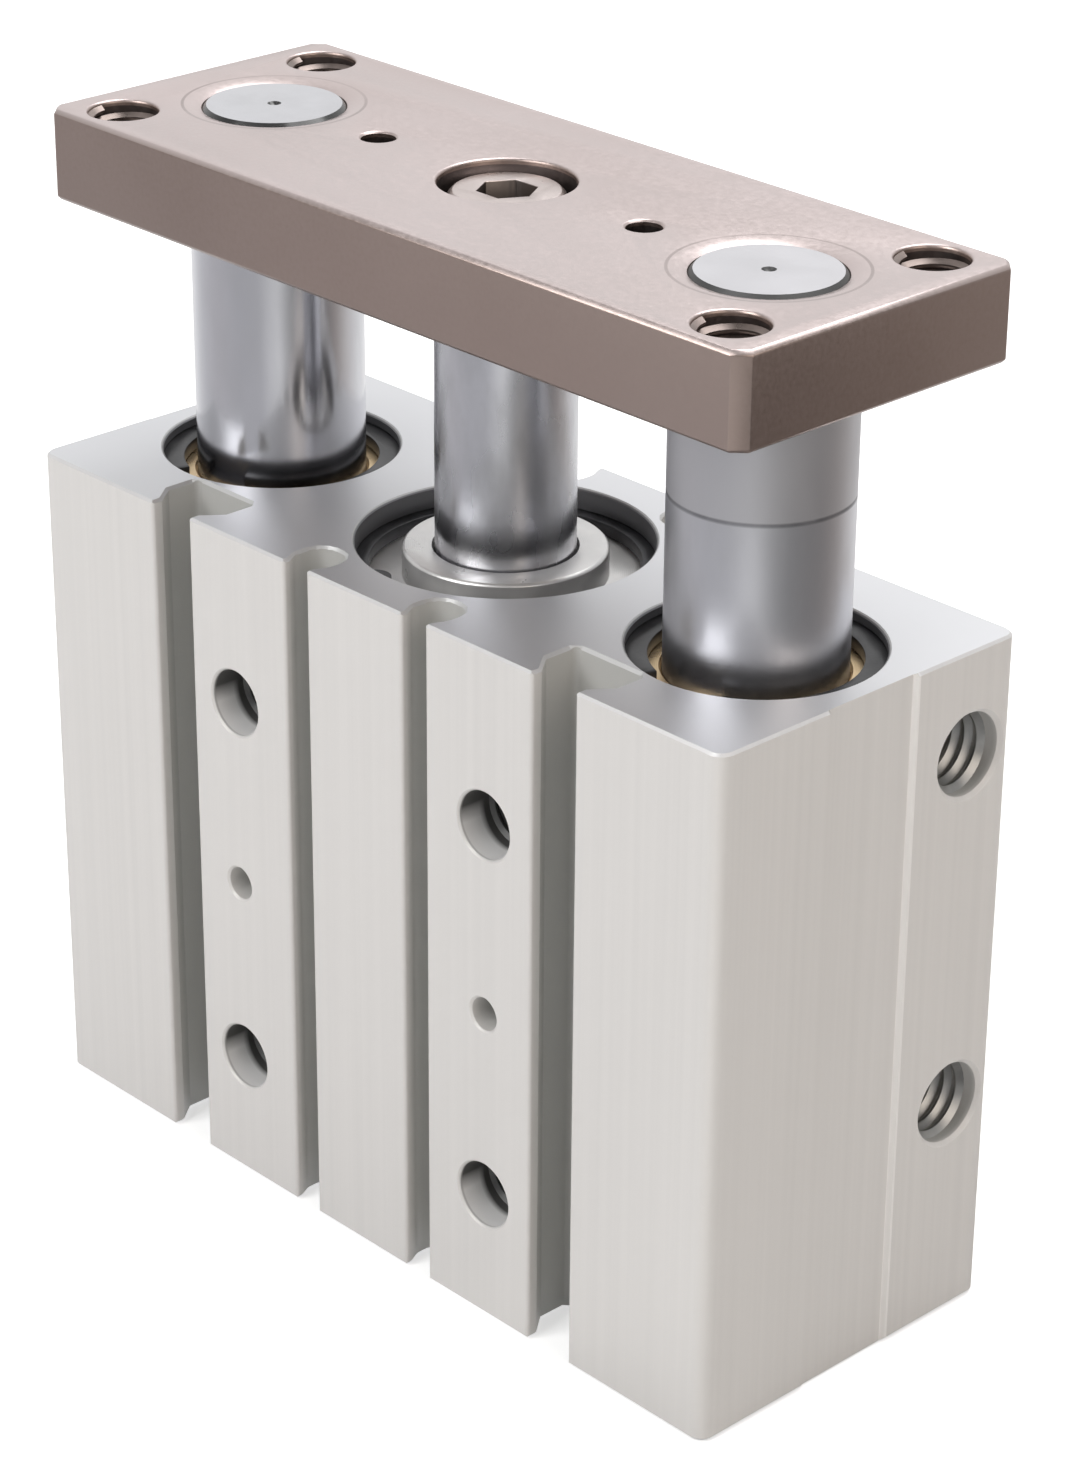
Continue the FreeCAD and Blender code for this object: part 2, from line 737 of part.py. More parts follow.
def parts():
    """Every node of the cylinder, by name."""
    nodes = {
        "body": body(),
        "rod_cover": rod_cover(),
        "rod_bush": rod_bush(),
        "rod_seal": rod_seal(),
        "rod_cover_gasket": gasket(rod_cover_bottom, rod_cover_thickness),
        "rod_cover_ring": cover_ring(rod_cover_face + ring_gap / 2),
        "rod_bumper": bumper(rod_cover_bottom - bumper_height),
        "head_cover": head_cover(),
        "head_cover_gasket": gasket(head_cover_depth, head_cover_thickness),
        "head_cover_ring": cover_ring(head_cover_depth - ring_gap / 2 - cover_ring_thickness),
        "head_bumper": bumper(head_cover_top - bumper_seat + press_gap),
        "piston": piston(),
        "piston_seal": piston_seal(),
        "piston_magnet": piston_magnet(),
        "piston_rod": piston_rod(),
        "plate": plate(),
        "plate_screw": plate_screw(),
        "port_plug_lower": port_plug(port_heights[0]),
        "port_plug_upper": port_plug(port_heights[1]),
        "base_ball": base_ball(),
        "back_ball": back_ball(),
    }
    for name, side in SIDES:
        nodes["guide_rod_" + name] = guide_rod(side)
        nodes["upper_bush_" + name] = guide_bush(side, guide_bush_end - guide_bush_length)
        nodes["lower_bush_" + name] = guide_bush(side, guide_mouth_depth)
        nodes["upper_guide_ring_" + name] = guide_ring(side, guide_bush_end + ring_gap / 2)
        nodes["lower_guide_ring_" + name] = guide_ring(
            side, guide_mouth_depth - ring_gap / 2 - guide_ring_thickness)
    return nodes


os.makedirs("parts", exist_ok=True)
for node, shape in parts().items():
    shape.exportStep("parts/" + node + ".step")
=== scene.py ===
import json
import math

import bmesh
import bpy
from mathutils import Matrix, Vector


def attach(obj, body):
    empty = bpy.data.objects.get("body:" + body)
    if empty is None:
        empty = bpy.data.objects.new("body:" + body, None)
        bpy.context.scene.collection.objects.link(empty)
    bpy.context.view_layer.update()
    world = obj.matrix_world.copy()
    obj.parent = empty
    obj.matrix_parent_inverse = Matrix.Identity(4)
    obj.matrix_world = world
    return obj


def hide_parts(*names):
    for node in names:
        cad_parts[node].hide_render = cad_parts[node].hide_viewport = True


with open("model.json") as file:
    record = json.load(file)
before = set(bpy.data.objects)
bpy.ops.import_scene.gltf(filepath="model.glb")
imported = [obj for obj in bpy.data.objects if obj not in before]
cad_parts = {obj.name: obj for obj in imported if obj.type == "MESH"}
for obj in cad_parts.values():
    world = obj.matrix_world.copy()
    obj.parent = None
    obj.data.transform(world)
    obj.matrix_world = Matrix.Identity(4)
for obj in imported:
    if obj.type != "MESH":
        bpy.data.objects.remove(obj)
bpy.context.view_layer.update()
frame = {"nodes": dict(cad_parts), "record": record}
mm = 0.001
print("frame loaded:", len(frame["nodes"]), "nodes")

# Places that several pieces share, in millimetres
places = {
    "guides": (-39, 39),
    "bodyFace": 22.75,
    "bodyEnd": 56,
    "bodyTop": 83,
    "frontScrews": [(x, z) for x in (-21, 21) for z in (15.7, 62.3)],
    "plateCorners": [(x, y) for x in (-48, 48) for y in (-14.75, 14.75)],
}

# Camera
cameraView = {
    "lens": 97.62,
    "place": (0.302298, -0.281848, 0.256821),
    "turn": (1.123006, -0.007148, 0.814088),
}
cameraData = bpy.data.cameras.new("camera")
cameraData.lens = cameraView["lens"]
cameraData.sensor_width = 36
cameraData.clip_start = 0.01
camera = bpy.data.objects.new("camera", cameraData)
camera.location = cameraView["place"]
camera.rotation_euler = cameraView["turn"]
bpy.context.scene.collection.objects.link(camera)
bpy.context.scene.camera = camera
bpy.context.scene.view_settings.view_transform = "Standard"


# Helpers for pieces
def selectOnly(piece):
    if bpy.context.object and bpy.context.object.mode != "OBJECT":
        bpy.ops.object.mode_set(mode="OBJECT")
    bpy.ops.object.select_all(action="DESELECT")
    bpy.context.view_layer.objects.active = piece
    piece.select_set(True)


def applyModifier(piece, kind, **values):
    modifier = piece.modifiers.new(kind.lower(), kind)
    for name, value in values.items():
        setattr(modifier, name, value)
    selectOnly(piece)
    bpy.ops.object.modifier_apply(modifier=modifier.name)


def smoothByAngle(piece, degrees):
    selectOnly(piece)
    bpy.ops.object.shade_smooth_by_angle(angle=math.radians(degrees))


def bakePlace(piece):
    selectOnly(piece)
    bpy.ops.object.transform_apply(location=True, rotation=True, scale=True)


def faceOutwards(piece):
    selectOnly(piece)
    bpy.ops.object.mode_set(mode="EDIT")
    bpy.ops.mesh.select_all(action="SELECT")
    bpy.ops.mesh.normals_make_consistent(inside=False)
    bpy.ops.object.mode_set(mode="OBJECT")


# Helpers for materials, some of which the sky uses too
def newMaterial(name, metallic=0.0, roughness=0.5):
    material = bpy.data.materials.new(name)
    material.use_nodes = True
    shaderInput(material, "Metallic").default_value = metallic
    shaderInput(material, "Roughness").default_value = roughness
    return material


def shaderInput(material, name):
    return material.node_tree.nodes["Principled BSDF"].inputs[name]


def addNode(material, kind, **values):
    node = material.node_tree.nodes.new(kind)
    for name, value in values.items():
        if name in node.inputs.keys():
            node.inputs[name].default_value = value
        else:
            setattr(node, name, value)
    return node


def join(material, fromSocket, toSocket):
    material.node_tree.links.new(fromSocket, toSocket)


def placeNodes(material, scale, centre=(0, 0, 0)):
    shift = [-c * s for c, s in zip(centre, scale)]
    coordinates = addNode(material, "ShaderNodeTexCoord")
    mapping = addNode(material, "ShaderNodeMapping", Scale=scale, Location=shift)
    join(material, coordinates.outputs["Object"], mapping.inputs["Vector"])
    return mapping.outputs["Vector"]


def axisParts(material, output="Object"):
    coordinates = addNode(material, "ShaderNodeTexCoord")
    parts = addNode(material, "ShaderNodeSeparateXYZ")
    join(material, coordinates.outputs[output], parts.inputs["Vector"])
    return parts.outputs


# A noise in a look is its scale along each axis, per metre, and its detail
def noise(material, scale, detail):
    texture = addNode(material, "ShaderNodeTexNoise", Scale=1, Detail=detail)
    join(material, placeNodes(material, scale), texture.inputs["Vector"])
    return texture.outputs["Fac"]


# Rings about an upright axis, as a lathe leaves them
def ringLines(material, perMetre, centre):
    wave = addNode(material, "ShaderNodeTexWave", wave_type="RINGS", rings_direction="Z",
                   Scale=perMetre, Distortion=0.6, Detail=2)
    join(material, placeNodes(material, (1, 1, 1), centre), wave.inputs["Vector"])
    return wave.outputs["Fac"]


# The usual limits are where most of a noise lies
def spread(material, value, low, high, fromLow=0.3, fromHigh=0.7):
    node = addNode(material, "ShaderNodeMapRange")
    node.inputs["From Min"].default_value = fromLow
    node.inputs["From Max"].default_value = fromHigh
    node.inputs["To Min"].default_value = low
    node.inputs["To Max"].default_value = high
    join(material, value, node.inputs["Value"])
    return node.outputs["Result"]


def between(material, mask, low, high):
    return spread(material, mask, low, high, 0, 1)


# From 0 to 1 between two places in millimetres, and back from 1 to 0
def rise(material, value, start, stop):
    return spread(material, value, 0, 1, start * mm, stop * mm)


def fall(material, value, start, stop):
    return spread(material, value, 1, 0, start * mm, stop * mm)


def combine(material, operation, first, second):
    node = addNode(material, "ShaderNodeMath", operation=operation)
    join(material, first, node.inputs[0])
    if isinstance(second, float):
        node.inputs[1].default_value = second
    else:
        join(material, second, node.inputs[1])
    return node.outputs[0]


def allOf(material, first, *others):
    for other in others:
        first = combine(material, "MULTIPLY", first, other)
    return first


def anyOf(material, first, *others):
    for other in others:
        first = combine(material, "MAXIMUM", first, other)
    return first


def sizeOf(material, value):
    size = addNode(material, "ShaderNodeMath", operation="ABSOLUTE")
    join(material, value, size.inputs[0])
    return size.outputs[0]


def blendColours(material, value, first, second):
    node = addNode(material, "ShaderNodeMix", data_type="RGBA")
    for socket, colour in ((node.inputs[6], first), (node.inputs[7], second)):
        if isinstance(colour, tuple):
            socket.default_value = (*colour, 1)
        else:
            join(material, colour, socket)
    join(material, value, node.inputs[0])
    return node.outputs[2]


def bumps(material, heights):
    normal = None
    for height, (strength, distance) in heights:
        node = addNode(material, "ShaderNodeBump", Strength=strength, Distance=distance)
        join(material, height, node.inputs["Height"])
        if normal:
            join(material, normal, node.inputs["Normal"])
        normal = node.outputs["Normal"]
    join(material, normal, shaderInput(material, "Normal"))


# Where tones turn: the first three by the Z of the normal, the rest in millimetres from an edge
turns = {
    "upward": (0.5, 0.9),
    "slopeStarts": (0.35, 0.45),
    "slopeEnds": (0.85, 0.95),
    "hole": 0.1,
    "litHalf": (-1.3, 0.7),
    "holeMouth": (-0.6, -0.1),
    "litDepth": (-0.6, 0.2),
    "slotMouth": (-3.5, -0.3),
    "slotEnd": (-1, -0.5),
}


def around(place, name):
    return [place + turn for turn in turns[name]]


def upwardness(material, bothWays=True):
    slope = axisParts(material, "Normal")["Z"]
    return spread(material, sizeOf(material, slope) if bothWays else slope, 0, 1, *turns["upward"])


def sloping(material):
    slope = sizeOf(material, axisParts(material, "Normal")["Z"])
    starts = spread(material, slope, 0, 1, *turns["slopeStarts"])
    return allOf(material, starts, spread(material, slope, 1, 0, *turns["slopeEnds"]))


def nearAxis(material, place, radius, across=(1, 1, 0)):
    distance = addNode(material, "ShaderNodeVectorMath", operation="LENGTH")
    join(material, placeNodes(material, across, [c * mm for c in place]), distance.inputs[0])
    return fall(material, distance.outputs["Value"], radius, radius + turns["hole"])


def insideHoles(material, holes, bottom, top):
    level = axisParts(material)["Z"]
    near = anyOf(material, *[nearAxis(material, (x, y, 0), radius) for x, y, radius in holes])
    near = allOf(material, near, fall(material, level, top - turns["hole"], top))
    return allOf(material, near, rise(material, level, bottom, bottom + turns["hole"]))


def ringMarks(material, rings, width):
    marks = []
    for x, y, radius in rings:
        inner = nearAxis(material, (x, y, 0), radius - width)
        outer = nearAxis(material, (x, y, 0), radius)
        marks.append(combine(material, "SUBTRACT", outer, inner))
    return anyOf(material, *marks)


# Holes in the front: all that lies in them, for painted shade, and their lower half near the mouth, for
# a painted highlight where the light falls in
def crossHoles(material, holes, face, litDepth):
    parts = axisParts(material)
    depth = sizeOf(material, parts["Y"])
    inside = []
    lit = []
    for x, z, radius in holes:
        inside.append(nearAxis(material, (x, 0, z), radius, (1, 0, 1)))
        lit.append(allOf(material, inside[-1], fall(material, parts["Z"], *around(z, "litHalf"))))
    deep = fall(material, depth, *around(face, "holeMouth"))
    shallow = rise(material, depth, *around(face - litDepth, "litDepth"))
    inside = allOf(material, anyOf(material, *inside), deep)
    return inside, allOf(material, anyOf(material, *lit), deep, shallow)


def insideSlots(material, face, end):
    parts = axisParts(material)
    deep = fall(material, sizeOf(material, parts["Y"]), *around(face, "slotMouth"))
    return allOf(material, deep, fall(material, sizeOf(material, parts["X"]), *around(end, "slotEnd")))


# Finishes
def anodisedBody():
    look = {
        "front": (0.765, 0.745, 0.725), "shade": (0.725, 0.707, 0.688), "blotchShare": 0.35,
        "streaks": ((900, 900, 6), 4), "blotches": ((45, 45, 18), 3), "grain": ((2600, 2600, 2600), 2),
        "streakBump": (0.12, 0.00003), "grainBump": (0.3, 0.00002),
        "bandHighlight": (0.97, 0.95, 0.93), "bandHighlightShare": 0.85, "bandEdgeX": (55.2, 55.5),
        "bandEdgeFrom": (6.2, 6.3), "bandEdgeTo": (7.05, 7.15),
        "slot": (0.54, 0.54, 0.52), "slotShadeShare": 0.9,
        "screws": [(x, z, 4.6) for x, z in places["frontScrews"]],
        "screwShade": (0.10, 0.098, 0.095), "screwLit": (0.96, 0.95, 0.94), "screwLitDepth": 3.3,
        "cut": (0.69, 0.695, 0.715), "cutBase": (0.5, 0.9), "cutTop": (82.1, 82.5),
        "bore": (0.20, 0.20, 0.21), "boreEnds": (0.2, 82.9),
        "bores": [(0, 0, 17.7)] + [(x, 0, 14.3) for x in places["guides"]],
        "metallic": (0.12, 0.78), "roughness": (0.48, 0.44),
    }
    material = newMaterial("mattAnodisedAluminium")
    streaks = noise(material, *look["streaks"])
    blotches = noise(material, *look["blotches"])
    grain = noise(material, *look["grain"])
    colour = blendColours(material, spread(material, streaks, 0, 1), look["shade"], look["front"])
    lighter = spread(material, blotches, 0, look["blotchShare"])
    colour = blendColours(material, lighter, colour, look["front"])
    parts = axisParts(material)
    # Painted highlight: a lighter stripe on one sloped side of each end band
    edge = allOf(material, rise(material, parts["Y"], *look["bandEdgeFrom"]),
                 fall(material, parts["Y"], *look["bandEdgeTo"]),
                 rise(material, sizeOf(material, parts["X"]), *look["bandEdgeX"]))
    edge = between(material, edge, 0, look["bandHighlightShare"])
    colour = blendColours(material, edge, colour, look["bandHighlight"])
    # Painted shade inside the slots: their walls are darker than the outer faces
    slots = insideSlots(material, places["bodyFace"], places["bodyEnd"])
    colour = blendColours(material, between(material, slots, 0, look["slotShadeShare"]), colour, look["slot"])
    # Painted shade deep in the front screw holes, and a painted highlight on their lower half near the
    # mouth
    inside, lit = crossHoles(material, look["screws"], places["bodyFace"], look["screwLitDepth"])
    colour = blendColours(material, inside, colour, look["screwShade"])
    colour = blendColours(material, lit, colour, look["screwLit"])
    atEnds = anyOf(material, fall(material, parts["Z"], *look["cutBase"]),
                   rise(material, parts["Z"], *look["cutTop"]))
    cutFace = allOf(material, upwardness(material), atEnds)
    colour = blendColours(material, cutFace, colour, look["cut"])
    # Painted shade on the walls of the bores; the same mask also makes them machined metal
    bores = insideHoles(material, look["bores"], *look["boreEnds"])
    colour = blendColours(material, bores, colour, look["bore"])
    join(material, colour, shaderInput(material, "Base Color"))
    machined = anyOf(material, cutFace, bores)
    join(material, between(material, machined, *look["metallic"]), shaderInput(material, "Metallic"))
    join(material, between(material, machined, *look["roughness"]), shaderInput(material, "Roughness"))
    bumps(material, [(streaks, look["streakBump"]), (grain, look["grainBump"])])
    return material


def platedSteel():
    look = {
        "side": (0.35, 0.275, 0.247), "shadedSideWarm": (0.30, 0.232, 0.205),
        "frontLight": (0.49, 0.39, 0.35), "frontLightShare": 0.7, "frontLightX": (-30, 60),
        "frontNormal": (-0.9, -0.5), "top": (0.60, 0.52, 0.51), "litTopWarm": (0.55, 0.47, 0.455),
        "hole": (0.13, 0.11, 0.105), "holeEnds": (114.2, 124.1),
        "holes": [(0, 0, 7.8)] + [(x, y, 4.2) for x, y in places["plateCorners"]]
        + [(x, 0, 2.3) for x in (-21, 21)],
        "mark": (0.30, 0.25, 0.24), "markWidth": 0.35, "markShares": (0.25, 0.8),
        "marks": [(x, 0, 10.6) for x in places["guides"]],
        "clouds": ((40, 40, 40), 4), "grain": ((1800, 1800, 1800), 3), "ground": ((60, 1800, 900), 3),
        "cloudTurns": (0.7, 1.3), "metallic": 0.95, "roughness": (0.28, 0.42),
        "groundBump": (0.15, 0.00003), "grainBump": (0.3, 0.00002),
    }
    material = newMaterial("satinNickelPlate", look["metallic"])
    clouds = noise(material, *look["clouds"])
    grain = noise(material, *look["grain"])
    ground = noise(material, *look["ground"])
    shade = spread(material, combine(material, "ADD", clouds, grain), 0, 1, *look["cloudTurns"])
    # Painted light and shade: the sides and underside get a darker colour and the top a lighter one, and
    # the front face is painted lighter towards its right end
    side = blendColours(material, shade, look["shadedSideWarm"], look["side"])
    frontward = spread(material, axisParts(material, "Normal")["Y"], 1, 0, *look["frontNormal"])
    along = rise(material, axisParts(material)["X"], *look["frontLightX"])
    along = between(material, along, 0, look["frontLightShare"])
    side = blendColours(material, allOf(material, frontward, along), side, look["frontLight"])
    top = blendColours(material, shade, look["litTopWarm"], look["top"])
    colour = blendColours(material, upwardness(material, False), side, top)
    marks = ringMarks(material, look["marks"], look["markWidth"])
    marks = allOf(material, marks, spread(material, clouds, *look["markShares"]))
    colour = blendColours(material, marks, colour, look["mark"])
    # Painted shade inside the plate's holes and the screw pocket
    holes = insideHoles(material, look["holes"], *look["holeEnds"])
    colour = blendColours(material, holes, colour, look["hole"])
    join(material, colour, shaderInput(material, "Base Color"))
    join(material, spread(material, grain, *look["roughness"]), shaderInput(material, "Roughness"))
    bumps(material, [(ground, look["groundBump"]), (grain, look["grainBump"])])
    return material


def hardChrome(name, soil, haze=0.0, wearLine=None):
    look = {
        "clean": (0.62, 0.62, 0.65), "soiled": (0.44, 0.44, 0.45), "rubbed": (0.56, 0.555, 0.575),
        "line": (0.12, 0.12, 0.13), "darkEndReflection": (0.10, 0.10, 0.10),
        "film": ((160, 160, 60), 6), "specks": ((900, 900, 500), 4), "lines": ((30, 30, 1400), 2),
        "filmTurns": (0.4, 0.7), "roughness": (0.16 + haze, 0.22 + haze + 0.15 * soil),
        "rubbedFrom": (-0.1, 0.1), "rubbedHaze": 0.12,
        "lineFrom": (-0.35, -0.1), "lineTo": (0.1, 0.3), "lineShares": (0.9, 0.4),
        "speckBump": (0.15 + 0.5 * soil, 0.00002), "lineBump": (0.12, 0.00001),
    }
    material = newMaterial(name, 1.0)
    film = noise(material, *look["film"])
    specks = noise(material, *look["specks"])
    lines = noise(material, *look["lines"])
    soiled = spread(material, film, 0, soil, *look["filmTurns"])
    colour = blendColours(material, soiled, look["clean"], look["soiled"])
    roughness = spread(material, film, *look["roughness"])
    if wearLine:
        level = axisParts(material)["Z"]
        rubbed, below, above = [[wearLine + turn for turn in look[edge]]
                                for edge in ("rubbedFrom", "lineFrom", "lineTo")]
        rubbed = rise(material, level, *rubbed)
        colour = blendColours(material, rubbed, colour, look["rubbed"])
        duller = between(material, rubbed, 0, look["rubbedHaze"])
        roughness = combine(material, "ADD", roughness, duller)
        line = allOf(material, rise(material, level, *below), fall(material, level, *above),
                     spread(material, film, *look["lineShares"]))
        colour = blendColours(material, line, colour, look["line"])
    # Painted dark reflection on the chamfers at the rod ends
    colour = blendColours(material, sloping(material), colour, look["darkEndReflection"])
    join(material, colour, shaderInput(material, "Base Color"))
    join(material, roughness, shaderInput(material, "Roughness"))
    bumps(material, [(specks, look["speckBump"]), (lines, look["lineBump"])])
    return material


turnedLooks = {
    "alloy": {
        "dull": (0.66, 0.655, 0.65), "bright": (0.80, 0.79, 0.78), "metallic": 0.62,
        "patches": ((180, 180, 180), 3), "roughness": (0.25, 0.4),
        "lines": 1400, "lineBump": (0.25, 0.00003),
    },
    "bronze": {
        "dull": (0.58, 0.42, 0.24), "bright": (0.80, 0.62, 0.38), "metallic": 0.95,
        "patches": ((260, 260, 260), 4), "roughness": (0.22, 0.4),
        "lines": 1600, "lineBump": (0.3, 0.00003),
    },
    "screw": {
        "dull": (0.54, 0.47, 0.45), "bright": (0.62, 0.55, 0.53), "metallic": 0.95,
        "patches": ((300, 300, 300), 4), "roughness": (0.26, 0.38),
        "lines": 1500, "lineBump": (0.2, 0.00003),
        "socket": (0.15, 0.13, 0.12), "sockets": [(0, 0, 3.7)], "socketEnds": (119.0, 123.66),
    },
}


def turnedMetal(name, look, centreX=0):
    material = newMaterial(name, look["metallic"])
    patches = noise(material, *look["patches"])
    lines = ringLines(material, look["lines"], (centreX * mm, 0, 0))
    colour = blendColours(material, spread(material, patches, 0, 1), look["dull"], look["bright"])
    if "socket" in look:
        # Painted shade inside the screw's socket
        socket = insideHoles(material, look["sockets"], *look["socketEnds"])
        colour = blendColours(material, socket, colour, look["socket"])
    join(material, colour, shaderInput(material, "Base Color"))
    join(material, spread(material, patches, *look["roughness"]), shaderInput(material, "Roughness"))
    bumps(material, [(lines, look["lineBump"])])
    return material


grainLooks = {
    "metal": {
        "patches": ((300, 300, 300), 4), "grain": ((2200, 2200, 2200), 2), "grainBump": (0.25, 0.00002),
    },
    "rubber": {
        "patches": ((400, 400, 400), 3), "grain": ((3000, 3000, 3000), 2), "grainBump": (0.3, 0.00003),
        "roughness": (0.45, 0.65),
    },
}


def grainedFinish(name, look, dark, light, roughness, metallic):
    material = newMaterial(name, metallic)
    patches = noise(material, *look["patches"])
    grain = noise(material, *look["grain"])
    colour = blendColours(material, spread(material, patches, 0, 1), dark, light)
    join(material, colour, shaderInput(material, "Base Color"))
    join(material, spread(material, patches, *roughness), shaderInput(material, "Roughness"))
    bumps(material, [(grain, look["grainBump"])])
    return material


def metal(name, dark, light, roughness, metallic=0.9):
    return grainedFinish(name, grainLooks["metal"], dark, light, roughness, metallic)


def rubber(name, dark, light):
    look = grainLooks["rubber"]
    return grainedFinish(name, look, dark, light, look["roughness"], 0.0)


leftX, rightX = places["guides"]
finishes = {
    "body": anodisedBody(),
    "plate": platedSteel(),
    "guideRodLeft": hardChrome("groundChromeLeft", soil=0.25),
    "guideRodRight": hardChrome("groundChromeRight", soil=0.4, haze=0.12, wearLine=100.5),
    "pistonRod": hardChrome("groundChromePiston", soil=0.9),
    "covers": turnedMetal("turnedCoverAlloy", turnedLooks["alloy"]),
    "bushLeft": turnedMetal("bronzeLeft", turnedLooks["bronze"], leftX),
    "bushRight": turnedMetal("bronzeRight", turnedLooks["bronze"], rightX),
    "bushMiddle": turnedMetal("bronzeMiddle", turnedLooks["bronze"]),
    "screw": turnedMetal("platedScrew", turnedLooks["screw"]),
    "rings": metal("springSteel", (0.03, 0.03, 0.033), (0.07, 0.07, 0.074), (0.30, 0.46)),
    "guideRings": metal("guideSpringSteel", (0.04, 0.04, 0.042), (0.09, 0.09, 0.092), (0.28, 0.44)),
    "plugs": metal("platedPlug", (0.32, 0.31, 0.29), (0.48, 0.46, 0.43), (0.30, 0.46)),
    "balls": metal("polishedBall", (0.52, 0.52, 0.53), (0.66, 0.66, 0.67), (0.10, 0.26)),
    "thread": metal("cutThread", (0.34, 0.34, 0.33), (0.52, 0.52, 0.51), (0.28, 0.44)),
    # The threads in the front holes are painted dark as shade
    "frontThreadShade": metal("shadedFrontThread", (0.07, 0.07, 0.07), (0.16, 0.16, 0.155), (0.45, 0.45),
                         metallic=0.2),
    "plateThread": metal("platedThread", (0.20, 0.165, 0.15), (0.34, 0.28, 0.26), (0.26, 0.42)),
    "magnet": metal("bondedMagnet", (0.09, 0.09, 0.10), (0.15, 0.15, 0.16), (0.49, 0.65),
                    metallic=0.2),
    "seals": rubber("blackRubber", (0.018, 0.018, 0.018), (0.035, 0.034, 0.033)),
    "bumpers": rubber("bumperRubber", (0.06, 0.055, 0.05), (0.10, 0.095, 0.09)),
}
print("finishes made:", len(finishes))


# Dressed pieces
bodies = frame["record"]["behaviour"]["bodies"]
bodyOf = {node: body for body, nodes in bodies.items() for node in nodes}
dressing = {
    "mergeWithin": 1e-6,
    "flatAngle": 0.002,
    "sharpAngle": 0.6,
    "shortEdge": 0.3,
    "bevelSegments": 2,
    "smoothDegrees": 32,
}


def mergedCopy(node):
    piece = bpy.data.objects.new(node + "_dressed", frame["nodes"][node].data.copy())
    bpy.context.scene.collection.objects.link(piece)
    selectOnly(piece)
    if piece.data.has_custom_normals:
        bpy.ops.mesh.customdata_custom_splitnormals_clear()
    bpy.ops.object.mode_set(mode="EDIT")
    bpy.ops.mesh.select_all(action="SELECT")
    bpy.ops.mesh.remove_doubles(threshold=dressing["mergeWithin"])
    bpy.ops.mesh.dissolve_limited(angle_limit=dressing["flatAngle"])
    bpy.ops.object.mode_set(mode="OBJECT")
    return piece


def longEnough(edge):
    return edge.calc_length() > dressing["shortEdge"] * mm


# Bevels the sharp edges that are wanted, and measures the area that the bevel turned over
def softenEdges(piece, width, wanted):
    sharp = dressing["sharpAngle"]
    shape = bmesh.new()
    shape.from_mesh(piece.data)
    weights = [float(edge.calc_face_angle(0) > sharp and wanted(edge)) for edge in shape.edges]
    shape.free()
    attribute = piece.data.attributes.new("bevel_weight_edge", "FLOAT", "EDGE")
    attribute.data.foreach_set("value", weights)
    applyModifier(piece, "BEVEL", width=width * mm, segments=dressing["bevelSegments"],
                  limit_method="WEIGHT", use_clamp_overlap=False)
    piece.data.calc_loop_triangles()
    flipped = sum(t.area for t in piece.data.loop_triangles
                  if t.normal.dot(piece.data.polygons[t.polygon_index].normal) < 0.5)
    print(piece.name, "edges", int(sum(weights)), "flipped mm2", round(flipped / mm ** 2, 3))


def giveFinish(piece, finish):
    piece.data.materials.clear()
    piece.data.materials.append(finishes[finish])


def finishPiece(piece, node, finish):
    smoothByAngle(piece, dressing["smoothDegrees"])
    giveFinish(piece, finish)
    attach(piece, bodyOf[node])
    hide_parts(node)


# Slotted body, whose slots flare a little at both ends
slotEnds = {
    "flare": 0.42,
    "inset": 0.08,
    "drop": 0.45,
    "proud": 0.1,
    "near": 0.01,
    "ends": (0, places["bodyTop"]),
}

# Places as X and the side of the body, outlines as distance from the middle and depth under the face
slotShapes = {
    "screw": {
        "places": [(-31.7, -1), (31.7, -1)],
        "half": [(3.25, -0.9), (3.25, 1.4), (5.2, 3.9), (5.2, 7.5), (4.4, 8.3)],
    },
    "sensor": {
        "places": [(-9.8, -1), (9.8, -1), (-9.8, 1), (9.8, 1)],
        "half": [(1.9, -0.9), (1.9, 0.9), (2.5, 2.1), (2.7, 2.9), (2.7, 4.1), (2.38, 5.3),
                 (1.5, 6.18), (0.5, 6.48)],
    },
}


def slotOutline(half, middle, side, face):
    corners = [(x, depth) for x, depth in half] + [(-x, depth) for x, depth in reversed(half)]
    return [Vector((middle + x * side, side * (face - depth))) for x, depth in corners]


# The outline moved outwards by the same amount on every side
def grown(corners, amount):
    result = []
    for before, corner, after in zip(corners[-1:] + corners[:-1], corners, corners[1:] + corners[:1]):
        arriving = (corner - before).normalized()
        leaving = (after - corner).normalized()
        outward = Vector((arriving.y + leaving.y, -arriving.x - leaving.x))
        result.append(corner - outward * amount / (1 + arriving.dot(leaving)))
    return result


# Slimmer than the slot inside the body and wider than it at the end face
def flaredCutter(corners, end, look):
    upward = 1 if end > 0 else -1
    low = end - upward * look["drop"]
    high = end + upward * look["proud"]
    wide = grown(corners, look["flare"])
    bpy.ops.mesh.primitive_circle_add(vertices=len(corners), radius=mm, fill_type="NGON")
    cutter = bpy.context.object
    for vertex, corner in zip(cutter.data.vertices, grown(corners, -look["inset"])):
        vertex.co = (corner.x * mm, corner.y * mm, low * mm)
    bpy.ops.object.mode_set(mode="EDIT")
    bpy.ops.mesh.select_all(action="SELECT")
    bpy.ops.mesh.extrude_region_move(TRANSFORM_OT_translate={"value": (0, 0, (high - low) * mm)})
    bpy.ops.object.mode_set(mode="OBJECT")
    for vertex in cutter.data.vertices:
        if abs(vertex.co.z - high * mm) < look["near"] * mm:
            flat = vertex.co.xy / mm
            nearest = min(range(len(corners)), key=lambda n: (corners[n] - flat).length)
            vertex.co.xy = wide[nearest] * mm
    faceOutwards(cutter)
    return cutter


